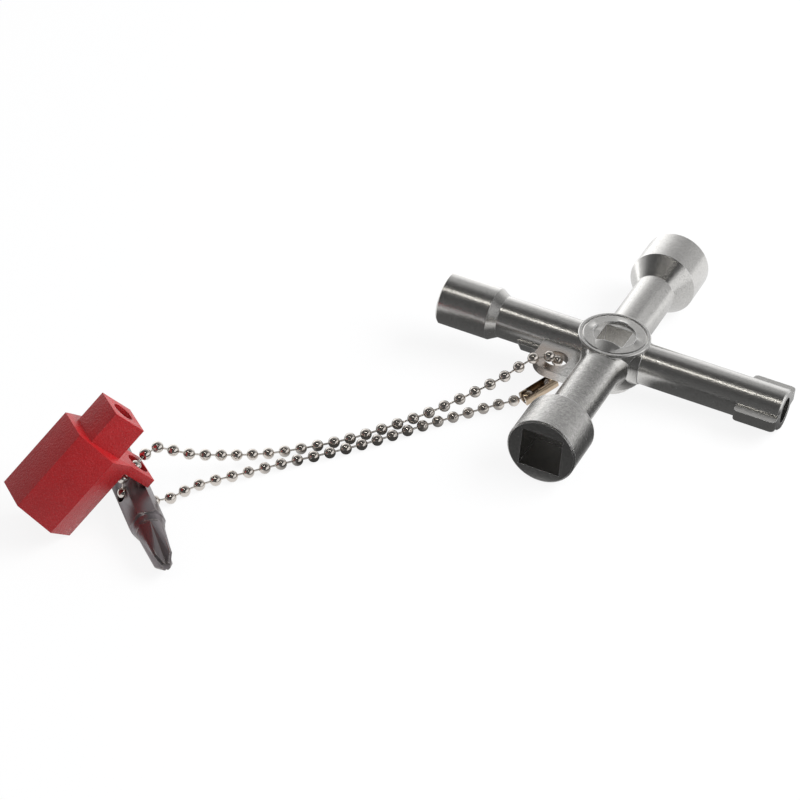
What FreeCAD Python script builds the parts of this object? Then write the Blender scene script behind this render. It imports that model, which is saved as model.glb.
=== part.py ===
"""Four-way utility key on a ball chain, with a bit adapter and a reversible bit. Millimetres.

The key is a flat cross of four arms, and each arm ends in a different driver. It lies at rest on the
table: its two big heads and the end of its thin right arm touch down, so it leans a little to the right.
The origin is the middle of the hub, where the arms' axes cross. +X runs along the right arm's level
direction, +Y along the back arm, +Z is up. A ball chain goes through the eyelet beside the hub, on
to the ear of the red adapter and through the cross hole of the bit, and back to its coupling.
"""
import FreeCAD, Part
import math
import os

V = FreeCAD.Vector
X_AXIS = V(1, 0, 0)
Y_AXIS = V(0, 1, 0)
Z_AXIS = V(0, 0, 1)

# The cross: reach of the arms and the plain tubes
arm_reach = 38.0
tube_radius = 4.5
right_tube_radius = 4.35
end_chamfer = 0.35

# Hub with a square hole right through it
barrel_radius = 6.8
flange_radius = barrel_radius + 0.8
flange_height = 0.5
hub_top = 4.8
hub_bottom = 4.8
foot_radius = barrel_radius - 1.7
foot_height = 2.1
rim_width = 0.65
groove_width = 0.5
groove_depth = 0.3
recess_radius = flange_radius - 3.1
recess_depth = 0.35
hub_square = 6.0
root_flare = 0.5
front_root_flare = 1.1

# Front arm: large square driver
front_head_radius = 7.3
front_head_length = 10.1
front_step = 0.4
front_square = 8.7
front_square_depth = 9.0

# Back arm: triangle driver on a long cone
back_head_radius = 7.3
back_head_length = 9.1
back_cone_length = 4.6
back_triangle_radius = 5.6
back_triangle_flat = 1.1
back_triangle_depth = 11.0

# Left arm: small square driver
left_head_radius = 5.63
left_head_length = 11.4
left_cone_length = 2.0
left_square = 6.0
left_square_depth = 10.0
left_pad_radius = 5.46
left_pad_start = 13.0
left_pad_end = 19.6

# Right arm: round bore between two lugs
bore_radius = 2.75
bore_depth = 20.0
lug_reach = 6.9
lug_thickness = 2.4
lug_length = 9.0
lug_corner = 1.0

# Eyelet web in the corner of the left and front arms
web_top = 1.5
web_thickness = 1.9
eyelet_x = 8.7
eyelet_y = 9.7
eyelet_rim = 2.2
eyelet_radius = 2.5

# Ball chain
bead_radius = 1.2
bead_flat_radius = 0.48
bead_sides = 8
bead_bands = 4
chain_pitch = 3.46
link_radius = 0.3
link_sides = 5
beads_per_group = 3

# Chain coupling: a rolled sheet sleeve with turned-in ends and a slot along its top
coupling_wall = 0.28
coupling_play = 0.12
coupling_grip = 1.45
coupling_slot = 0.8
coupling_window = 2.1
coupling_band = 1.5
coupling_mouth_radius = 0.95

# Red adapter: hexagon body, square stub, ear for the chain, hexagon socket for the bit
adapter_flats = 14.3
adapter_length = 18.4
stub_square = 7.75
stub_length = 7.3
stub_hole_radius = 2.25
stub_hole_depth = 9.0
ear_width = 8.3
ear_reach = 13.7
ear_thickness = 2.0
ear_hole_offset = 11.1
ear_hole_radius = 2.4
bit_clearance = 0.1
adapter_socket_depth = 9.0
adapter_place = (-73.3, -83.5)
adapter_turn = 50.0
rest_gap = 0.02

# Reversible bit: hexagon shank, cross point on one end and flat blade on the other
bit_flats = 6.35
bit_length = 45.0
bit_hex_half = 12.2
bit_hole_radius = 1.6
bit_neck_radius = 2.75
bit_neck_length = 2.6
bit_shoulder_radius = 3.0
point_tip_radius = 0.85
point_angle = 26.5
flute_width = 2.1
blade_thickness = 1.0
blade_taper = 5.5
bit_centre = (-67.8, -80.4)
bit_heading = -45.4

# How the key leans, and the table under it
lean = math.asin((front_head_radius - right_tube_radius) / arm_reach)
table_z = -front_head_radius
bead_rest_z = table_z + bead_radius

# How the adapter leans: one edge on the table, and the tip of its ear on the top flat of the bit
prop_across = adapter_length - ear_thickness
prop_along = ear_reach - adapter_flats / 2
adapter_lean = math.atan2(prop_along, prop_across) + math.asin(
    (bit_flats + rest_gap) / math.hypot(prop_across, prop_along))


def cylinder(radius, start, end):
    """Solid round bar from one point to another."""
    run = end - start
    return Part.makeCylinder(radius, run.Length, start, run)


def cone(start_radius, end_radius, start, end):
    """Solid cone between two points, with a radius at each."""
    run = end - start
    return Part.makeCone(start_radius, end_radius, run.Length, start, run)


def square_bar(side, start, end):
    """Square bar between two points."""
    run = end - start
    bar = Part.makeBox(side, side, run.Length, V(-side / 2, -side / 2, 0))
    bar.Placement = FreeCAD.Placement(start, FreeCAD.Rotation(Z_AXIS, run))
    return bar


def polygon_prism(points, height):
    """Upright prism on a closed outline in the level plane."""
    outline = Part.makePolygon(points + [points[0]])
    return Part.Face(outline).extrude(V(0, 0, height))


def hexagon_prism(across_flats, height, first_corner=0.0):
    """Upright hexagonal prism with its first corner at an angle in degrees."""
    corner_radius = across_flats / 2 / math.cos(math.pi / 6)
    corners = []
    for side in range(6):
        angle = math.radians(first_corner + 60 * side)
        corners.append(V(corner_radius * math.cos(angle), corner_radius * math.sin(angle), 0))
    return polygon_prism(corners, height)


def turned(profile, axis_point, axis):
    """Solid of revolution of a closed profile."""
    return Part.Face(Part.makePolygon(profile + [profile[0]])).revolve(axis_point, axis, 360)


def arm_blank(direction, head_radius, head_length, cone_length):
    """Tube from the hub with a conical step up to its head."""
    head_start = arm_reach - head_length
    cone_start = head_start - cone_length
    tube = cylinder(tube_radius, V(0, 0, 0), direction * cone_start)
    step = cone(tube_radius, head_radius, direction * cone_start, direction * head_start)
    head = cylinder(head_radius, direction * head_start, direction * (arm_reach - end_chamfer))
    rim = cone(head_radius, head_radius - end_chamfer,
               direction * (arm_reach - end_chamfer), direction * arm_reach)
    return tube.fuse([step, head, rim])


def arm_root(direction, flare):
    """Small cone where an arm leaves the hub."""
    wide = tube_radius + flare
    start = math.sqrt(barrel_radius ** 2 - wide ** 2)
    return cone(wide, tube_radius, direction * start, direction * (barrel_radius + flare))


def left_pad():
    """Thicker underside of the left arm beside the web."""
    thin = left_pad_radius - tube_radius
    start = V(-left_pad_start, 0, 0)
    end = V(thin - left_pad_end, 0, 0)
    pad = cylinder(left_pad_radius, start, end).fuse(
        cone(left_pad_radius, tube_radius, end, V(-left_pad_end, 0, 0)))
    lower = Part.makeBox(left_pad_end, 2 * left_pad_radius, left_pad_radius,
                         V(-left_pad_end, -left_pad_radius, -left_pad_radius - left_pad_radius / 4))
    return pad.common(lower)


def hub_blank():
    """Turned hub: a thin flange with a rim and a groove on top, a plain barrel, and a round foot below."""
    flange_low = hub_top - flange_height
    rim_inner = flange_radius - rim_width
    crown_edge = rim_inner - groove_width
    soft = 0.2
    profile = [
        V(0, 0, -hub_bottom - foot_height),
        V(foot_radius, 0, -hub_bottom - foot_height),
        V(foot_radius, 0, -hub_bottom),
        V(barrel_radius, 0, -hub_bottom),
        V(barrel_radius, 0, flange_low - flange_radius + barrel_radius),
        V(flange_radius, 0, flange_low),
        V(flange_radius, 0, hub_top - soft),
        V(flange_radius - soft, 0, hub_top),
        V(rim_inner, 0, hub_top),
        V(rim_inner, 0, hub_top - groove_depth),
        V(crown_edge, 0, hub_top),
        V(recess_radius, 0, hub_top),
        V(recess_radius, 0, hub_top - recess_depth),
        V(0, 0, hub_top - recess_depth),
    ]
    return turned(profile, V(0, 0, 0), Z_AXIS)


def eyelet_web():
    """Flat web between the left and front arms, rounded about the eyelet."""
    outer = eyelet_radius + eyelet_rim
    left = -eyelet_x - outer
    front = -eyelet_y - outer
    diagonal = outer * math.sqrt(0.5)
    edges = [
        Part.LineSegment(V(0, 0, 0), V(left, 0, 0)),
        Part.LineSegment(V(left, 0, 0), V(left, -eyelet_y, 0)),
        Part.Arc(V(left, -eyelet_y, 0), V(-eyelet_x - diagonal, -eyelet_y - diagonal, 0), V(-eyelet_x, front, 0)),
        Part.LineSegment(V(-eyelet_x, front, 0), V(0, front, 0)),
        Part.LineSegment(V(0, front, 0), V(0, 0, 0)),
    ]
    outline = Part.Wire([edge.toShape() for edge in edges])
    web = Part.Face(outline).extrude(V(0, 0, web_thickness))
    web.translate(V(0, 0, web_top - web_thickness))
    return web


def lug_bar():
    """Flat bar across the right arm's end that leaves a lug on each side of the tube."""
    bar = Part.makeBox(lug_length, 2 * lug_reach, lug_thickness,
                       V(arm_reach - lug_length, -lug_reach, -lug_thickness / 2))
    upright = [edge for edge in bar.Edges if edge.tangentAt(edge.FirstParameter).cross(Z_AXIS).Length < 1e-6]
    return bar.makeFillet(lug_corner, upright)


def triangle_socket():
    """Equilateral recess with blunt corners, pointing up, in the back head."""
    points = []
    for corner in range(3):
        angle = math.radians(90 + 120 * corner)
        tip = V(back_triangle_radius * math.cos(angle), back_triangle_radius * math.sin(angle), 0)
        along = V(-math.sin(angle), math.cos(angle), 0) * (back_triangle_flat / 2)
        points.append(tip - along)
        points.append(tip + along)
    socket = polygon_prism(points, back_triangle_depth)
    socket.Placement = FreeCAD.Placement(V(0, arm_reach - back_triangle_depth, 0),
                                         FreeCAD.Rotation(V(-1, 0, 0), Z_AXIS, Y_AXIS, "XZY"))
    return socket


def key_body():
    """One cast body: hub, four arms, web and lugs, with every socket cut into it."""
    left = X_AXIS * -1
    front = Y_AXIS * -1
    right_tube = cylinder(right_tube_radius, V(0, 0, 0), X_AXIS * (arm_reach - end_chamfer))
    right_rim = cone(right_tube_radius, right_tube_radius - end_chamfer,
                     X_AXIS * (arm_reach - end_chamfer), X_AXIS * arm_reach)
    body = hub_blank().fuse([
        right_tube,
        right_rim,
        lug_bar(),
        arm_blank(left, left_head_radius, left_head_length, left_cone_length),
        arm_blank(front, front_head_radius, front_head_length, front_step),
        arm_blank(Y_AXIS, back_head_radius, back_head_length, back_cone_length),
        eyelet_web(),
        left_pad(),
        arm_root(X_AXIS, root_flare),
        arm_root(left, root_flare),
        arm_root(front, front_root_flare),
        arm_root(Y_AXIS, root_flare),
    ])
    hub_span = hub_top + hub_bottom + foot_height
    cuts = [
        square_bar(hub_square, V(0, 0, -hub_span), V(0, 0, hub_span)),
        square_bar(front_square, front * (arm_reach - front_square_depth), front * (arm_reach + 1)),
        triangle_socket(),
        square_bar(left_square, left * (arm_reach - left_square_depth), left * (arm_reach + 1)),
        cylinder(bore_radius, X_AXIS * (arm_reach - bore_depth), X_AXIS * (arm_reach + 1)),
        cylinder(eyelet_radius, V(-eyelet_x, -eyelet_y, -2 * web_top), V(-eyelet_x, -eyelet_y, 2 * web_top)),
    ]
    body = body.cut(cuts).removeSplitter()
    return body.rotated(V(0, 0, 0), Y_AXIS, math.degrees(lean))


def leaned(x, y, z):
    """A point of the key's own frame, moved with the key's lean."""
    return V(x * math.cos(lean) + z * math.sin(lean), y, z * math.cos(lean) - x * math.sin(lean))


def adapter_placement():
    """The adapter's own Z is its axis towards the stub; it stands on one edge of its socket end."""
    tilt = FreeCAD.Rotation(Y_AXIS, 90 - math.degrees(adapter_lean))
    edge_drop = adapter_flats / 2 * math.cos(adapter_lean)
    axis_rise = adapter_length * math.sin(adapter_lean)
    centre = V(adapter_place[0], adapter_place[1], table_z + edge_drop + axis_rise)
    return FreeCAD.Placement(centre, FreeCAD.Rotation(Z_AXIS, adapter_turn).multiply(tilt))


def bit_adapter():
    """Moulded adapter: its square stub fits the key, and its socket end holds the bit."""
    body = hexagon_prism(adapter_flats, adapter_length, 30)
    body.translate(V(0, 0, -adapter_length))
    stub = square_bar(stub_square, V(0, 0, 0), V(0, 0, stub_length))
    ear = Part.makeBox(ear_reach, ear_width, ear_thickness, V(0, -ear_width / 2, -ear_thickness))
    ear_hole = cylinder(ear_hole_radius, V(ear_hole_offset, 0, -ear_thickness - 1), V(ear_hole_offset, 0, 1))
    stub_hole = cylinder(stub_hole_radius, V(0, 0, stub_length - stub_hole_depth), V(0, 0, stub_length + 1))
    socket = hexagon_prism(bit_flats + 2 * bit_clearance, adapter_socket_depth + 1, 30)
    socket.translate(V(0, 0, -adapter_length - 1))
    adapter = body.fuse([stub, ear]).cut([ear_hole, stub_hole, socket]).removeSplitter()
    adapter.Placement = adapter_placement()
    return adapter


def bit_placement():
    """The bit's own X is its axis towards the cross point; one flat of the hexagon is on the table."""
    centre = V(bit_centre[0], bit_centre[1], table_z + bit_flats / 2)
    return FreeCAD.Placement(centre, FreeCAD.Rotation(Z_AXIS, bit_heading))


def reversible_bit():
    """Hexagon shank turned down to a cross point on one end and a flat blade on the other."""
    corner_radius = bit_flats / 2 / math.cos(math.pi / 6)
    half = bit_length / 2
    neck_start = bit_hex_half + corner_radius - bit_neck_radius
    shoulder = neck_start + bit_neck_length
    point_length = (bit_shoulder_radius - point_tip_radius) / math.tan(math.radians(point_angle))
    profile = [
        V(-half, 0, 0),
        V(-half, 0, bit_shoulder_radius),
        V(-bit_hex_half, 0, bit_shoulder_radius),
        V(-bit_hex_half, 0, corner_radius),
        V(bit_hex_half, 0, corner_radius),
        V(neck_start, 0, bit_neck_radius),
        V(shoulder, 0, bit_neck_radius),
        V(half - point_length, 0, bit_shoulder_radius),
        V(half, 0, point_tip_radius),
        V(half, 0, 0),
    ]
    blank = turned(profile, V(0, 0, 0), X_AXIS)
    shank = hexagon_prism(bit_flats, bit_length, 0)
    shank.Placement = FreeCAD.Placement(V(-half, 0, 0), FreeCAD.Rotation(Y_AXIS, 90))
    shank.rotate(V(0, 0, 0), X_AXIS, 90)
    bit = blank.common(shank)
    cuts = []
    for quarter in range(4):
        flute = Part.makeBox(half, flute_width * 2, flute_width * 2)
        flute.translate(V(half - point_length - 1.6, 0.42, 0.42))
        flute.rotate(V(half, 0, 0), X_AXIS, 45 + 90 * quarter)
        cuts.append(flute)
    for side in (1, -1):
        wedge = [
            V(-half - 1, 0, side * blade_thickness / 2),
            V(-half, 0, side * blade_thickness / 2),
            V(-half + blade_taper, 0, side * bit_flats / 2),
            V(-half + blade_taper, 0, side * bit_flats),
            V(-half - 1, 0, side * bit_flats),
        ]
        face = Part.Face(Part.makePolygon(wedge + [wedge[0]]))
        cut = face.extrude(V(0, 2 * bit_flats, 0))
        cut.translate(V(0, -bit_flats, 0))
        cuts.append(cut)
    hole = cylinder(bit_hole_radius, V(0, -bit_flats, 0), V(0, bit_flats, 0))
    hole.rotate(V(0, 0, 0), X_AXIS, -30)
    cuts.append(hole)
    bit = bit.cut(cuts).removeSplitter()
    bit.Placement = bit_placement()
    return bit


def chain_route():
    """Middle line of the chain, from one gripped bead of the coupling round to the other."""
    eye = leaned(-eyelet_x, -eyelet_y, 0)
    ear = adapter_placement()
    hole = bit_placement()
    rest = bead_rest_z
    points = [
        V(-10.0, -9.8, -4.5),
        V(-8.7, -8.3, -2.9),
        V(eye.x + 0.1, eye.y + 0.6, eye.z + 0.5),
        V(-9.3, -11.2, 3.4),
        V(-12.0, -13.4, 3.6),
        V(-14.4, -15.7, 2.0),
        V(-18.5, -20.5, -0.4),
        V(-23.2, -25.2, -2.5),
        V(-27.9, -30.1, -4.2),
        V(-32.7, -35.0, -5.3),
        V(-37.3, -40.0, rest + 0.1),
        V(-41.9, -45.0, rest),
        V(-46.8, -49.6, rest),
        V(-51.4, -54.3, -5.6),
        V(-55.8, -59.3, -4.1),
        V(-60.1, -64.4, -2.0),
        V(-64.4, -68.6, 0.2),
        V(-68.0, -72.3, 2.6),
        ear.multVec(V(ear_hole_offset, 0, -ear_thickness / 2)),
        hole.multVec(V(-0.7, -2.5, 4.3)),
        hole.multVec(V(-0.1, -1.9, 1.1)),
        hole.multVec(V(0, 0, 0)),
        hole.multVec(V(0, 2.2, -1.2)),
        hole.multVec(V(0.2, 5.2, bead_radius - bit_flats / 2 + 0.15)),
        V(-61.2, -71.4, rest),
        V(-55.4, -64.0, rest),
        V(-48.4, -56.2, rest),
        V(-41.3, -48.7, rest),
        V(-34.5, -40.8, rest),
        V(-28.2, -32.4, rest),
        V(-21.6, -24.3, rest),
        V(-17.2, -19.0, rest),
        V(-14.9, -16.5, rest),
        V(-12.7, -13.8, -5.85),
    ]
    curve = Part.BSplineCurve()
    curve.interpolate(points)
    return curve


def bead_centres():
    """Bead centres at even steps along the route."""
    route = chain_route()
    steps = round(route.length() / chain_pitch)
    return route.discretize(Number=steps + 1)


def ring(centre, axis, side, radius, sides):
    """Corners of a level-sided regular outline round an axis."""
    across = (side - axis * side.dot(axis)).normalize()
    lift = axis.cross(across)
    corners = []
    for corner in range(sides):
        angle = 2 * math.pi * corner / sides
        corners.append(centre + across * (radius * math.cos(angle)) + lift * (radius * math.sin(angle)))
    return corners


def solid_of(rings):
    """Closed solid from a run of outlines with the same number of corners."""
    faces = []
    count = len(rings[0])
    for low, high in zip(rings, rings[1:]):
        for corner in range(count):
            after = (corner + 1) % count
            first = [low[corner], low[after], high[after]]
            second = [low[corner], high[after], high[corner]]
            faces.append(Part.Face(Part.makePolygon(first + first[:1])))
            faces.append(Part.Face(Part.makePolygon(second + second[:1])))
    for cap in (rings[0], rings[-1]):
        faces.append(Part.Face(Part.makePolygon(cap + cap[:1])))
    solid = Part.Solid(Part.Shell(faces))
    if solid.Volume < 0:
        solid.reverse()
    return solid


def bead_axis(beads, index):
    """Direction of the chain at a bead, halfway between its two links."""
    before = beads[max(index - 1, 0)]
    after = beads[min(index + 1, len(beads) - 1)]
    return (after - before).normalize()


def bead(beads, index):
    """Ball with a small flat at each end, where its links come out."""
    axis = bead_axis(beads, index)
    first = math.asin(bead_flat_radius / bead_radius)
    rings = []
    for band in range(bead_bands + 1):
        angle = first + (math.pi - 2 * first) * band / bead_bands
        centre = beads[index] - axis * (bead_radius * math.cos(angle))
        rings.append(ring(centre, axis, Z_AXIS, bead_radius * math.sin(angle), bead_sides))
    return solid_of(rings)


def link(beads, index):
    """Thin pin from the flat of one bead to the flat of the next."""
    flat = math.sqrt(bead_radius ** 2 - bead_flat_radius ** 2)
    first_axis = bead_axis(beads, index)
    last_axis = bead_axis(beads, index + 1)
    start = beads[index] + first_axis * flat
    end = beads[index + 1] - last_axis * flat
    return solid_of([
        ring(start, first_axis, Z_AXIS, link_radius, link_sides),
        ring(end, last_axis, Z_AXIS, link_radius, link_sides),
    ])


def chain_coupling(beads):
    """Rolled sleeve that grips the first and last bead, turned in at its ends, with a window and a slot on top."""
    low = beads[-1]
    high = beads[0]
    run = (high - low).normalize()
    start = low - run * coupling_grip
    end = high + run * coupling_grip
    inner = bead_radius + coupling_play
    sleeve = cylinder(inner + coupling_wall, start, end)
    hollow = cylinder(inner, start + run * coupling_wall, end - run * coupling_wall)
    mouth = cylinder(coupling_mouth_radius, start - run, end + run)
    length = (end - start).Length
    slot = Part.makeBox(coupling_slot, 2 * inner, length + 2, V(-coupling_slot / 2, 0, -1))
    window = Part.makeBox(coupling_window, 2 * inner, length - 2 * coupling_band,
                          V(-coupling_window / 2, 0, coupling_band))
    up = (Z_AXIS - run * run.z).normalize()
    for opening in (slot, window):
        opening.Placement = FreeCAD.Placement(start, FreeCAD.Rotation(up.cross(run), up, run, "ZYX"))
    return sleeve.cut([hollow, mouth, slot, window])


def save(name, shape):
    """Writes one node."""
    shape.exportStep(os.path.join("parts", name + ".step"))
    print(name, len(shape.Solids), "solids", round(shape.Volume, 2), "valid", shape.isValid())


def main():
    os.makedirs("parts", exist_ok=True)
    beads = bead_centres()
    save("key_body", key_body())
    save("bit_adapter", bit_adapter())
    save("reversible_bit", reversible_bit())
    save("chain_coupling", chain_coupling(beads))
    groups = math.ceil(len(beads) / beads_per_group)
    for group in range(groups):
        first = group * beads_per_group
        last = min(first + beads_per_group, len(beads))
        balls = [bead(beads, index) for index in range(first, last)]
        save("chain_beads_%02d" % (group + 1), Part.makeCompound(balls))
        pins = [link(beads, index) for index in range(first, min(last, len(beads) - 1))]
        save("chain_links_%02d" % (group + 1), Part.makeCompound(pins))
    print("beads", len(beads), "lean", round(math.degrees(lean), 2))


main()
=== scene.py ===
"""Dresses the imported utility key: its casting, plastic adapter, bit, ball chain and chain coupling."""

import math

import bmesh
import bpy
from bpy.props import FloatProperty, FloatVectorProperty, PointerProperty
from mathutils import Matrix, Vector


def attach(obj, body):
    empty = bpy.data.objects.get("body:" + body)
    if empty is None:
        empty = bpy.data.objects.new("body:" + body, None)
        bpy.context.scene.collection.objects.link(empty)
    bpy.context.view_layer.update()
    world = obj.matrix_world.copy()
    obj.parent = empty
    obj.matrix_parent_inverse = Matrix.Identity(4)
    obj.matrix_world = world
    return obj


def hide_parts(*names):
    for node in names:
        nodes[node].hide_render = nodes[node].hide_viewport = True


bl_info = {
    "name": "Utility Key Dresser",
    "version": (1, 0, 0),
    "blender": (4, 5, 0),
    "location": "View3D > Sidebar > Utility Key",
    "description": "Dresses the packed utility key, its adapter, its bit and its ball chain",
    "category": "Object",
}

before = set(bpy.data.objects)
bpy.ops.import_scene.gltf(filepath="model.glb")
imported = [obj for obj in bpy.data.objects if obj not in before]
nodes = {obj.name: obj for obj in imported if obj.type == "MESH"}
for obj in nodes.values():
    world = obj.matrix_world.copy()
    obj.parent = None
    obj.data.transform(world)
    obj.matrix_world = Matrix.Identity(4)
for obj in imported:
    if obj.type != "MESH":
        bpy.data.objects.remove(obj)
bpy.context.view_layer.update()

MM = 0.001

# Meshes: distance within which loose corners join, and bend up to which faces count as one flat face
JOIN_WITHIN = 1e-6
FLAT_BEND = math.radians(1.0)

# Bit: its middle and heading as packed
BIT_MIDDLE = Vector((-67.8, -80.4, -4.125)) * MM
BIT_HEADING = math.radians(-45.4)

# Bit point, in mm along the bit from its middle: where the point begins and where its flutes begin
POINT_START = 12.1
FLUTE_START = 16.59
FLUTE_FLOOR_RADIUS = 1.2
FLUTE_RUN_OUT = 0.94

# Bit point: packed length against dressed length, then radius along each of them
POINT_REACH = [(12.0, 8.6), (12.2, 8.8), (13.12, 9.6), (15.72, 10.4), (16.59, 11.2), (18.19, 20.3),
               (22.5, 22.5)]
POINT_BEFORE = [(12.0, 3.667), (12.2, 3.667), (13.12, 2.75), (15.72, 2.75), (15.8, 3.0), (18.19, 3.0),
                (22.5, 0.85)]
POINT_AFTER = [(8.6, 3.667), (8.8, 3.667), (9.6, 3.2), (10.4, 3.12), (20.3, 2.25), (22.5, 0.9)]

# Chain: the place near which it begins, and the counts of faces round a ball and a wire
CHAIN_START = Vector((-10.0, -9.8, -4.5)) * MM
BALL_SEGMENTS = 16
BALL_RINGS = 12
WIRE_SEGMENTS = 10
WIRE_ENTRY = 0.86
DIMPLE_RIM = 0.04 * MM
DIMPLE_DEPTH = 0.16 * MM
COUPLING_EDGE = 0.05 * MM

# Stage: the floor lies just under the heads, and the camera looks down from the key's front right
FLOOR_HEIGHT = -7.31 * MM
OBJECT_MIDDLE = (-0.02, -0.03, 0.0)
CAMERA_PLACE = (0.1636, -0.4486, 0.3317)
CAMERA_RIGHT = (0.9039, 0.4277, 0.0)
CAMERA_AHEAD = (-0.3466, 0.7325, -0.5859)
CAMERA_SHARE = 0.88
WHITE = (1, 1, 1, 1)

BEAD_NODES = sorted(name for name in nodes if name.startswith("chain_beads"))
LINK_NODES = sorted(name for name in nodes if name.startswith("chain_links"))


class Value:
    """A shader socket that can be used in Python sums."""

    def __init__(self, shader, socket):
        self.shader = shader
        self.socket = socket

    def _sum(self, operation, first, second):
        made = self.shader.node("ShaderNodeMath", {"operation": operation}, {0: first, 1: second})
        return made.out()

    def __add__(self, other):
        return self._sum("ADD", self, other)

    def __radd__(self, other):
        return self._sum("ADD", other, self)

    def __sub__(self, other):
        return self._sum("SUBTRACT", self, other)

    def __rsub__(self, other):
        return self._sum("SUBTRACT", other, self)

    def __mul__(self, other):
        return self._sum("MULTIPLY", self, other)

    def __rmul__(self, other):
        return self._sum("MULTIPLY", other, self)

    def __abs__(self):
        return self._sum("ABSOLUTE", self, 0.0)


class Made:
    """A node just added, whose outputs are taken by name or number."""

    def __init__(self, shader, node):
        self.shader = shader
        self.node = node

    def out(self, name=0):
        return Value(self.shader, self.node.outputs[name])


class Shader:
    """A material's or world's node tree."""

    def __init__(self, tree):
        self.tree = tree
        tree.nodes.clear()

    def node(self, kind, settings=None, inputs=None):
        made = self.tree.nodes.new(kind)
        for name, value in (settings or {}).items():
            if name == "stops":
                self._stops(made.color_ramp, value)
            else:
                setattr(made, name, value)
        for name, value in (inputs or {}).items():
            if isinstance(value, Value):
                self.tree.links.new(value.socket, made.inputs[name])
            else:
                made.inputs[name].default_value = value
        return Made(self, made)

    def _stops(self, ramp, stops):
        ramp.elements.remove(ramp.elements[1])
        ramp.elements[0].position = stops[0][0]
        for place, _ in stops[1:]:
            ramp.elements.new(place)
        for element, (place, level) in zip(ramp.elements, stops):
            element.color = (level, level, level, 1.0)

    def most(self, first, second):
        """The larger of two values."""
        return self.node("ShaderNodeMath", {"operation": "MAXIMUM"}, {0: first, 1: second}).out()

    def place(self):
        """Object coordinates."""
        return self.node("ShaderNodeTexCoord").out("Object")

    def between(self, value, low, high, first=0.0, last=1.0):
        """A value taken from one range to another and held at its ends."""
        inputs = {"Value": value, "From Min": low, "From Max": high, "To Min": first, "To Max": last}
        return self.node("ShaderNodeMapRange", {"clamp": True}, inputs).out()

    def noise(self, vector, scale, detail=2.0, roughness=0.5):
        inputs = {"Vector": vector, "Scale": scale, "Detail": detail, "Roughness": roughness}
        return self.node("ShaderNodeTexNoise", {}, inputs).out(0)

    def ramp(self, value, stops):
        return self.node("ShaderNodeValToRGB", {"stops": stops}, {"Fac": value}).out("Color")

    def blend(self, factor, first, second):
        """Colour mix; each colour is a link or three numbers."""
        inputs = {0: factor, 6: self._colour(first), 7: self._colour(second)}
        return self.node("ShaderNodeMix", {"data_type": "RGBA"}, inputs).out(2)

    def _colour(self, value):
        return value if isinstance(value, Value) else (*value, 1.0)

    def parts(self, vector):
        split = self.node("ShaderNodeSeparateXYZ", {}, {0: vector})
        return split.out("X"), split.out("Y"), split.out("Z")

    def bump(self, height, distance, strength=1.0, normal=None):
        inputs = {"Height": height, "Distance": distance, "Strength": strength}
        if normal is not None:
            inputs["Normal"] = normal
        return self.node("ShaderNodeBump", {}, inputs).out()

    def rounded(self, radius):
        """Normal that is rounded at edges and in corners."""
        return self.node("ShaderNodeBevel", {"samples": 6}, {"Radius": radius}).out()

    def edges(self, radius):
        """One along edges and in corners, none on open faces."""
        flat = self.node("ShaderNodeNewGeometry").out("Normal")
        normals = {0: self.rounded(radius), 1: flat}
        turned = self.node("ShaderNodeVectorMath", {"operation": "DOT_PRODUCT"}, normals)
        return self.between(turned.out("Value"), 0.99, 0.93)

    def surface(self, inputs):
        made = self.node("ShaderNodeBsdfPrincipled", {}, inputs)
        self.node("ShaderNodeOutputMaterial", {}, {"Surface": made.out()})


def material(name):
    """A new material and its node tree."""
    made = bpy.data.materials.new(name)
    made.use_nodes = True
    return made, Shader(made.node_tree)


def cast_nickel(settings):
    """Nickel plate over a casting: mottle, darker specks, a painted highlight along the edges, which are
    also rougher, and a rougher skin on the front arm.
    """
    made, shader = material("cast_nickel")
    place = shader.place()
    mottle = shader.noise(place, 3600.0, 3.0, 0.65)
    cloud = shader.noise(place, 900.0, 3.0, 0.55)
    speck = shader.ramp(shader.noise(place, 4200.0, 1.0, 0.5), [(0.54, 0.0), (0.68, 1.0)])
    tone = shader.blend(cloud, [c * 0.84 for c in settings.nickel_colour], list(settings.nickel_colour))
    tone = shader.blend(speck * 0.50, tone, [c * 0.55 for c in settings.nickel_colour])
    # Painted highlight: the edges are painted brighter, standing in for light glinting along them; the same
    # edges are also made rougher.
    edge_glint_and_wear = shader.edges(settings.glint_edge_width)
    tone = shader.blend(edge_glint_and_wear, tone, [min(c * 1.4, 1.0) for c in settings.nickel_colour])
    side, depth = shader.parts(place)[:2]
    web = shader.between(side, -0.0055, -0.0075) * shader.between(depth, -0.0055, -0.0075)
    web = web * shader.between(depth, -0.022, -0.019)
    tone = shader.blend(web * 0.6, tone, [0.50, 0.40, 0.33])
    rough = shader.between(depth, -0.006, -0.012, 0.25, 1.0)
    skin = shader.ramp(shader.noise(place, 1500.0, 4.0, 0.7), [(0.42, 0.0), (0.62, 1.0)])
    tone = shader.blend(skin * rough * 0.42, tone, [c * 0.55 for c in settings.nickel_colour])
    grain = shader.bump(mottle * rough, 0.000055, 1.0, shader.rounded(settings.edge))
    shader.surface({
        "Base Color": tone,
        "Metallic": 1.0,
        "Roughness": 0.12 + cloud * 0.12 + mottle * 0.10 + edge_glint_and_wear * 0.30,
        "Normal": shader.bump(cloud * rough, 0.000040, 1.0, grain),
    })
    return made


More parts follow.
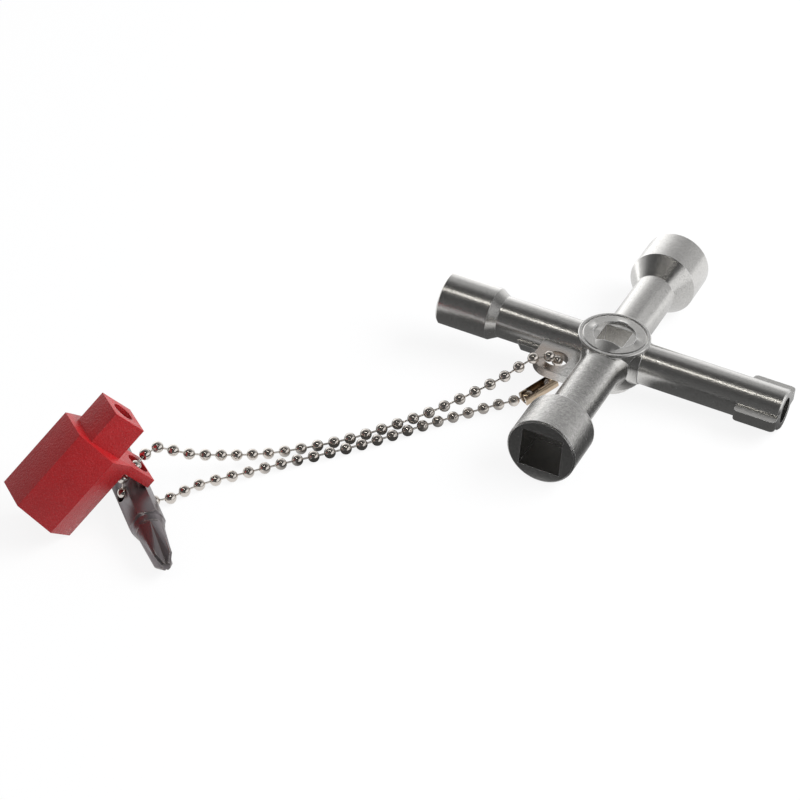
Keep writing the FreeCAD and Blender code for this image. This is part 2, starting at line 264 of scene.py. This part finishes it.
def moulded_red(settings):
    """Matt moulded plastic with a faint flow mottle and fine pale flecks."""
    made, shader = material("moulded_red")
    place = shader.place()
    cloud = shader.noise(place, 260.0, 4.0, 0.6)
    grain = shader.noise(place, 2400.0, 2.0, 0.6)
    tone = shader.blend(cloud, [c * 0.74 for c in settings.plastic_colour], list(settings.plastic_colour))
    fleck = shader.ramp(shader.noise(place, 5200.0, 2.0, 0.6), [(0.50, 0.0), (0.68, 1.0)])
    tone = shader.blend(fleck * 0.10, tone, (0.75, 0.32, 0.32))
    shader.surface({
        "Base Color": tone,
        "Roughness": 0.34 + grain * 0.20,
        "Sheen Weight": 0.3,
        "Sheen Roughness": 0.2,
        "Normal": shader.bump(grain, 0.00012, 1.0),
    })
    return made


def dark_tool_steel(settings):
    """Darkened steel, rubbed lighter along its edges."""
    made, shader = material("dark_tool_steel")
    place = shader.place()
    cloud = shader.noise(place, 500.0, 4.0, 0.6)
    grain = shader.noise(place, 3000.0, 2.0, 0.6)
    tone = shader.blend(cloud, [c * 0.8 for c in settings.steel_colour], list(settings.steel_colour))
    bright = shader.edges(settings.steel_edge * 3)
    tone = shader.blend(bright * 0.8, tone, (0.42, 0.39, 0.36))
    shader.surface({
        "Base Color": tone,
        "Metallic": 0.9,
        "Roughness": 0.24 + grain * 0.16,
        "Normal": shader.bump(grain, 0.00003, 0.5),
    })
    return made


def bead_nickel(settings):
    """Bright plate of the rolled beads and their wire."""
    made, shader = material("bead_nickel")
    cloud = shader.noise(shader.place(), 900.0, 2.0, 0.5)
    tone = shader.blend(cloud, [c * 0.92 for c in settings.bead_colour], list(settings.bead_colour))
    shader.surface({
        "Base Color": tone,
        "Metallic": 1.0,
        "Roughness": 0.09 + cloud * 0.08,
    })
    return made


def coupling_nickel():
    """Bright, slightly warm plate of the rolled sheet."""
    made, shader = material("coupling_nickel")
    cloud = shader.noise(shader.place(), 700.0, 3.0, 0.5)
    tone = shader.blend(cloud, [0.46, 0.34, 0.22], [0.64, 0.55, 0.44])
    shader.surface({
        "Base Color": tone,
        "Metallic": 1.0,
        "Roughness": 0.12 + cloud * 0.12,
        "Normal": shader.bump(cloud, 0.00010, 0.4),
    })
    return made


def new_piece(name, bm, finish, finish_slot, *replaced):
    """Turns a bmesh into a piece of the object that rides on its one body."""
    mesh = bpy.data.meshes.new(name)
    bm.to_mesh(mesh)
    bm.free()
    packed_normals = mesh.attributes.get("custom_normal")
    if packed_normals:
        mesh.attributes.remove(packed_normals)
    return piece_of(name, mesh, finish, finish_slot, *replaced)


def piece_of(name, mesh, finish, finish_slot, *replaced):
    mesh.materials.clear()
    mesh.materials.append(finish)
    piece = bpy.data.objects.new(name, mesh)
    bpy.context.scene.collection.objects.link(piece)
    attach(piece, "root")
    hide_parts(*replaced)
    return piece


def smooth(mesh, angle):
    """Smooth faces with sharp edges above an angle in degrees."""
    for face in mesh.polygons:
        face.use_smooth = True
    mesh.set_sharp_from_angle(angle=math.radians(angle))


def joined_copy(node):
    """A node's mesh with its loose triangles joined."""
    bm = bmesh.new()
    bm.from_mesh(nodes[node].data)
    bmesh.ops.remove_doubles(bm, verts=bm.verts, dist=JOIN_WITHIN)
    return bm


def make_flats_whole(bm):
    """Joins the triangles that lie in one flat face."""
    bmesh.ops.dissolve_limit(bm, angle_limit=FLAT_BEND, verts=bm.verts, edges=bm.edges)


def on_line(value, points):
    """Height at a value on a line of straight runs through (value, height) points."""
    for (low, first), (high, last) in zip(points, points[1:]):
        if value <= high:
            return first + (last - first) * (value - low) / (high - low)
    return points[-1][1]


def draw_out_point(bm):
    """Draws the cross point out to a long taper, and lets its flutes run out at the shank."""
    placed = Matrix.Translation(BIT_MIDDLE) @ Matrix.Rotation(BIT_HEADING, 4, "Z")
    bmesh.ops.transform(bm, matrix=placed.inverted(), verts=bm.verts)
    for vert in bm.verts:
        along = vert.co.x / MM
        if along < POINT_START:
            continue
        radius = math.hypot(vert.co.y, vert.co.z) / MM
        before = on_line(along, POINT_BEFORE)
        moved = on_line(along, POINT_REACH)
        after = on_line(moved, POINT_AFTER)
        at_flute_start = abs(along - FLUTE_START) < 0.1 and radius < FLUTE_FLOOR_RADIUS
        wanted = after * FLUTE_RUN_OUT if at_flute_start else radius * after / before
        change = wanted / radius if radius > 0.01 else 1.0
        vert.co.y *= change
        vert.co.z *= change
        vert.co.x = moved * MM
    bmesh.ops.transform(bm, matrix=placed, verts=bm.verts)


def soften(bm, offset, angle, segments=2):
    """Rounds every edge that is sharper than an angle in degrees."""
    limit = math.radians(angle)
    sharp = [edge for edge in bm.edges if len(edge.link_faces) == 2 and edge.calc_face_angle() > limit]
    bmesh.ops.bevel(bm, geom=sharp, offset=offset, offset_type="OFFSET", segments=segments, profile=0.5,
                    affect="EDGES", material=-1, clamp_overlap=True)


class KeySettings(bpy.types.PropertyGroup):
    """Sizes and colours of the key casting."""

    edge: FloatProperty(name="Cast edge", description="Radius of the casting's edges and corners",
                        default=0.12 * MM, unit="LENGTH")
    # Width of the painted edge highlight, which stands in for light glinting along the casting's edges.
    glint_edge_width: FloatProperty(name="Worn edge", description="Width over which edges are rubbed bright",
                             default=0.20 * MM, unit="LENGTH")
    nickel_colour: FloatVectorProperty(name="Nickel", description="Colour of the plated casting",
                                       subtype="COLOR", default=(0.76, 0.75, 0.73))


class SmallPartSettings(bpy.types.PropertyGroup):
    """Sizes and colours of the adapter and the bit."""

    plastic_edge: FloatProperty(name="Plastic edge", description="Edge radius of the moulding",
                                default=0.22 * MM, unit="LENGTH")
    steel_edge: FloatProperty(name="Steel edge", description="Edge radius of the bit",
                              default=0.12 * MM, unit="LENGTH")
    plastic_colour: FloatVectorProperty(name="Red plastic", description="Colour of the moulding",
                                        subtype="COLOR", default=(0.39, 0.002, 0.005))
    steel_colour: FloatVectorProperty(name="Tool steel", description="Colour of the bit",
                                      subtype="COLOR", default=(0.25, 0.225, 0.235))


class ChainSettings(bpy.types.PropertyGroup):
    """Sizes and colours of the ball chain."""

    bead_radius: FloatProperty(name="Bead radius", description="Radius of one ball",
                               default=1.2 * MM, unit="LENGTH")
    wire_radius: FloatProperty(name="Wire radius", description="Radius of the wire between two balls",
                               default=0.20 * MM, unit="LENGTH")
    bead_colour: FloatVectorProperty(name="Bead nickel", description="Colour of the plated balls",
                                     subtype="COLOR", default=(0.74, 0.69, 0.64))


class StageSettings(bpy.types.PropertyGroup):
    """Floor, lamps and camera."""

    lens: FloatProperty(name="Lens", description="Focal length in millimetres", default=125.8)
    floor_half: FloatProperty(name="Floor half width", description="Half the width of the floor",
                              default=1.5, unit="LENGTH")


class UTILITYKEY_OT_casting(bpy.types.Operator):
    """Plates the cast key body"""

    bl_idname = "utilitykey.casting"
    bl_label = "Key casting"

    def execute(self, context):
        settings = context.scene.utility_key
        bm = joined_copy("key_body")
        piece = new_piece("casting", bm, cast_nickel(settings), "nickel_cast", "key_body")
        smooth(piece.data, 22)
        return {"FINISHED"}


class UTILITYKEY_OT_adapter(bpy.types.Operator):
    """Rounds the edges of the red adapter"""

    bl_idname = "utilitykey.adapter"
    bl_label = "Bit adapter"

    def execute(self, context):
        settings = context.scene.utility_key_small
        bm = joined_copy("bit_adapter")
        make_flats_whole(bm)
        soften(bm, settings.plastic_edge, 30, 3)
        piece = new_piece("adapter", bm, moulded_red(settings), "red_plastic", "bit_adapter")
        smooth(piece.data, 40)
        return {"FINISHED"}


class UTILITYKEY_OT_bit(bpy.types.Operator):
    """Draws out the point of the reversible bit and rounds its edges"""

    bl_idname = "utilitykey.bit"
    bl_label = "Reversible bit"

    def execute(self, context):
        settings = context.scene.utility_key_small
        bm = joined_copy("reversible_bit")
        draw_out_point(bm)
        make_flats_whole(bm)
        soften(bm, settings.steel_edge, 25, 2)
        piece = new_piece("bit", bm, dark_tool_steel(settings), "tool_steel", "reversible_bit")
        smooth(piece.data, 40)
        return {"FINISHED"}


def bead_centres():
    """Centre of each ball, in order along the chain."""
    centres = []
    for node in BEAD_NODES:
        bm = joined_copy(node)
        left = set(bm.verts)
        group = []
        while left:
            island = [left.pop()]
            total = Vector()
            count = 0
            while island:
                vert = island.pop()
                total += vert.co
                count += 1
                for edge in vert.link_edges:
                    other = edge.other_vert(vert)
                    if other in left:
                        left.remove(other)
                        island.append(other)
            group.append(total / count)
        bm.free()
        while group:
            near = centres[-1] if centres else CHAIN_START
            nearest = min(group, key=lambda point: (point - near).length)
            group.remove(nearest)
            centres.append(nearest)
    return centres


def turn_to(axis, place):
    """Matrix that takes +Z to an axis at a place."""
    return Matrix.Translation(place) @ axis.to_track_quat("Z", "Y").to_matrix().to_4x4()


class UTILITYKEY_OT_beads(bpy.types.Operator):
    """Makes the smooth balls of the chain, each with a dimple where its wires go in"""

    bl_idname = "utilitykey.beads"
    bl_label = "Chain balls"

    def execute(self, context):
        settings = context.scene.utility_key_chain
        centres = bead_centres()
        bm = bmesh.new()
        for index, centre in enumerate(centres):
            before = centres[max(index - 1, 0)]
            after = centres[min(index + 1, len(centres) - 1)]
            made = bmesh.ops.create_uvsphere(bm, u_segments=BALL_SEGMENTS, v_segments=BALL_RINGS,
                                             radius=settings.bead_radius,
                                             matrix=turn_to((after - before).normalized(), centre))
            ends = [vert for vert in made["verts"] if len(vert.link_edges) == BALL_SEGMENTS]
            for end in ends:
                bmesh.ops.dissolve_verts(bm, verts=[end])
        bmesh.ops.recalc_face_normals(bm, faces=bm.faces)
        caps = [face for face in bm.faces if len(face.verts) == BALL_SEGMENTS]
        bmesh.ops.inset_individual(bm, faces=caps, thickness=DIMPLE_RIM, depth=-DIMPLE_DEPTH)
        piece = new_piece("chain_balls", bm, bead_nickel(settings), "bead_plate", *BEAD_NODES)
        smooth(piece.data, 50)
        return {"FINISHED"}


class UTILITYKEY_OT_links(bpy.types.Operator):
    """Makes the round wires between the balls of the chain"""

    bl_idname = "utilitykey.links"
    bl_label = "Chain wires"

    def execute(self, context):
        settings = context.scene.utility_key_chain
        centres = bead_centres()
        reach = settings.bead_radius * WIRE_ENTRY
        bm = bmesh.new()
        for first, last in zip(centres, centres[1:]):
            axis = (last - first).normalized()
            middle = (first + last) / 2
            length = (last - first).length - 2 * reach
            bmesh.ops.create_cone(bm, cap_ends=True, cap_tris=False, segments=WIRE_SEGMENTS,
                                  radius1=settings.wire_radius, radius2=settings.wire_radius,
                                  depth=length, matrix=turn_to(axis, middle))
        piece = new_piece("chain_wires", bm, bead_nickel(settings), "link_plate", *LINK_NODES)
        smooth(piece.data, 50)
        return {"FINISHED"}


class UTILITYKEY_OT_coupling(bpy.types.Operator):
    """Plates the rolled sheet coupling"""

    bl_idname = "utilitykey.coupling"
    bl_label = "Chain coupling"

    def execute(self, context):
        bm = joined_copy("chain_coupling")
        make_flats_whole(bm)
        soften(bm, COUPLING_EDGE, 40, 2)
        piece = new_piece("coupling", bm, coupling_nickel(), "coupling_plate", "chain_coupling")
        smooth(piece.data, 40)
        return {"FINISHED"}


def area_lamp(name, place, width, height, power, colour=(1, 1, 1)):
    """A rectangular lamp turned to the object's middle."""
    lamp = bpy.data.lights.new(name, "AREA")
    lamp.shape = "RECTANGLE"
    lamp.size = width
    lamp.size_y = height
    lamp.energy = power
    lamp.color = colour
    holder = bpy.data.objects.new(name, lamp)
    holder.location = Vector(place)
    ahead = Vector(OBJECT_MIDDLE) - Vector(place)
    holder.rotation_euler = ahead.to_track_quat("-Z", "Y").to_euler()
    bpy.context.scene.collection.objects.link(holder)
    return holder


class UTILITYKEY_OT_stage(bpy.types.Operator):
    """Lays the pale floor and sets the studio light and the camera"""

    bl_idname = "utilitykey.stage"
    bl_label = "Stage"

    def floor(self, settings):
        bm = bmesh.new()
        bmesh.ops.create_grid(bm, x_segments=1, y_segments=1, size=settings.floor_half)
        bmesh.ops.translate(bm, verts=bm.verts, vec=(0, 0, FLOOR_HEIGHT))
        mesh = bpy.data.meshes.new("floor")
        bm.to_mesh(mesh)
        bm.free()
        made, shader = material("floor_paper")
        rays = shader.node("ShaderNodeLightPath")
        side, depth = shader.parts(shader.place())[:2]
        lit = shader.node("ShaderNodeBsdfDiffuse", {}, {"Color": (0.85, 0.85, 0.86, 1)}).out()
        white = shader.node("ShaderNodeEmission", {}, {"Color": WHITE, "Strength": 1.0}).out()
        # Brightness that mirrored rays see: bright at the back, under the front arm and far to the left
        back_levels = [(0.0, 0.05), (0.50, 0.12), (0.60, 0.55), (0.90, 1.0)]
        back = shader.ramp(shader.between(depth, -0.060, 0.060), back_levels)
        under_arm = shader.between(abs(side + 0.0045), 0.0095, 0.0135, 0.8, 0.0)
        under_arm = under_arm * shader.between(depth, -0.040, -0.033)
        beside_arm = shader.between(side, -0.028, -0.022, 0.0, 0.35) * shader.between(side, 0.003, 0.0)
        beside_arm = beside_arm * shader.between(depth, -0.012, -0.016)
        beside_arm = beside_arm * shader.between(depth, -0.038, -0.034)
        patch = shader.most(under_arm * shader.between(depth, 0.020, 0.0), beside_arm)
        level = back + patch + shader.between(side, -0.052, -0.044, 0.8, 0.0)
        shown = rays.out("Is Transmission Ray") + rays.out("Is Glossy Ray")
        mirrored = shader.node("ShaderNodeEmission", {}, {"Color": WHITE, "Strength": level}).out()
        camera_share = rays.out("Is Camera Ray") * CAMERA_SHARE
        seen = shader.node("ShaderNodeMixShader", {}, {0: camera_share, 1: lit, 2: white}).out()
        top = shader.node("ShaderNodeMixShader", {}, {0: shown, 1: seen, 2: mirrored}).out()
        shader.node("ShaderNodeOutputMaterial", {}, {"Surface": top})
        mesh.materials.append(made)
        floor = bpy.data.objects.new("floor", mesh)
        bpy.context.scene.collection.objects.link(floor)

    def world(self):
        world = bpy.data.worlds.new("studio")
        world.use_nodes = True
        bpy.context.scene.world = world
        shader = Shader(world.node_tree)
        rays = shader.node("ShaderNodeLightPath")
        side, depth, rise = shader.parts(shader.node("ShaderNodeTexCoord").out("Generated"))
        # Brightness that mirrored rays see: bright behind and low down, dark in front, a wall on the right
        behind = shader.between(depth, 0.05, 0.50, 0.06, 1.0)
        height_levels = [(0.0, 1.0), (0.28, 0.92), (0.42, 0.74), (0.50, 0.57), (0.60, 0.35), (0.80, 0.31),
                         (0.92, 0.13), (1.0, 0.07)]
        backdrop = shader.ramp(rise, height_levels) * behind * (1.02 - side * 0.85)
        level = backdrop + shader.between(side, 0.68, 0.80, 0.05, 0.95)
        shown = rays.out("Is Transmission Ray") + rays.out("Is Glossy Ray")
        soft_light = {"Color": (0.97, 0.98, 1.0, 1), "Strength": 0.48}
        soft = shader.node("ShaderNodeBackground", {}, soft_light).out()
        white = shader.node("ShaderNodeBackground", {}, {"Color": WHITE, "Strength": 1.0}).out()
        room = shader.node("ShaderNodeBackground", {}, {"Color": WHITE, "Strength": level}).out()
        camera_ray = rays.out("Is Camera Ray")
        first = shader.node("ShaderNodeMixShader", {}, {0: camera_ray, 1: soft, 2: white}).out()
        top = shader.node("ShaderNodeMixShader", {}, {0: shown, 1: first, 2: room}).out()
        shader.node("ShaderNodeOutputWorld", {}, {"Surface": top})

    def camera(self, settings):
        data = bpy.data.cameras.new("camera")
        data.sensor_width = 36.0
        data.lens = settings.lens
        data.clip_start = 0.01
        data.clip_end = 10.0
        holder = bpy.data.objects.new("camera", data)
        right = Vector(CAMERA_RIGHT).normalized()
        ahead = Vector(CAMERA_AHEAD).normalized()
        up = right.cross(ahead)
        turn = Matrix((right, up, -ahead)).transposed().to_4x4()
        holder.matrix_world = Matrix.Translation(CAMERA_PLACE) @ turn
        bpy.context.scene.collection.objects.link(holder)
        bpy.context.scene.camera = holder

    def execute(self, context):
        settings = context.scene.utility_key_stage
        self.floor(settings)
        self.world()
        self.camera(settings)
        softbox = area_lamp("side_softbox", (0.60, 0.30, 0.62), 0.9, 0.5, 12.0)
        softbox.visible_glossy = False
        area_lamp("streak_lamp", (-0.02, -0.315, 0.94), 0.90, 0.025, 0.8, (1.0, 0.97, 0.91))
        context.scene.view_settings.view_transform = "Standard"
        return {"FINISHED"}


class UTILITYKEY_PT_panel(bpy.types.Panel):
    """Lists the steps that dress the utility key"""

    bl_idname = "UTILITYKEY_PT_panel"
    bl_label = "Utility Key"
    bl_space_type = "VIEW_3D"
    bl_region_type = "UI"
    bl_category = "Utility Key"

    def draw(self, context):
        for step in STEPS:
            self.layout.operator(step.bl_idname)


STEPS = [
    UTILITYKEY_OT_casting,
    UTILITYKEY_OT_adapter,
    UTILITYKEY_OT_bit,
    UTILITYKEY_OT_beads,
    UTILITYKEY_OT_links,
    UTILITYKEY_OT_coupling,
    UTILITYKEY_OT_stage,
]
GROUPS = {
    "utility_key": KeySettings,
    "utility_key_small": SmallPartSettings,
    "utility_key_chain": ChainSettings,
    "utility_key_stage": StageSettings,
}


def register():
    for name, group in GROUPS.items():
        bpy.utils.register_class(group)
        setattr(bpy.types.Scene, name, PointerProperty(type=group))
    for made in [*STEPS, UTILITYKEY_PT_panel]:
        bpy.utils.register_class(made)


def unregister():
    for made in [UTILITYKEY_PT_panel, *reversed(STEPS)]:
        bpy.utils.unregister_class(made)
    for name, group in GROUPS.items():
        delattr(bpy.types.Scene, name)
        bpy.utils.unregister_class(group)


def main():
    register()
    bpy.ops.utilitykey.casting()
    bpy.ops.utilitykey.adapter()
    bpy.ops.utilitykey.bit()
    bpy.ops.utilitykey.beads()
    bpy.ops.utilitykey.links()
    bpy.ops.utilitykey.coupling()
    bpy.ops.utilitykey.stage()


if __name__ == "__main__":
    main()
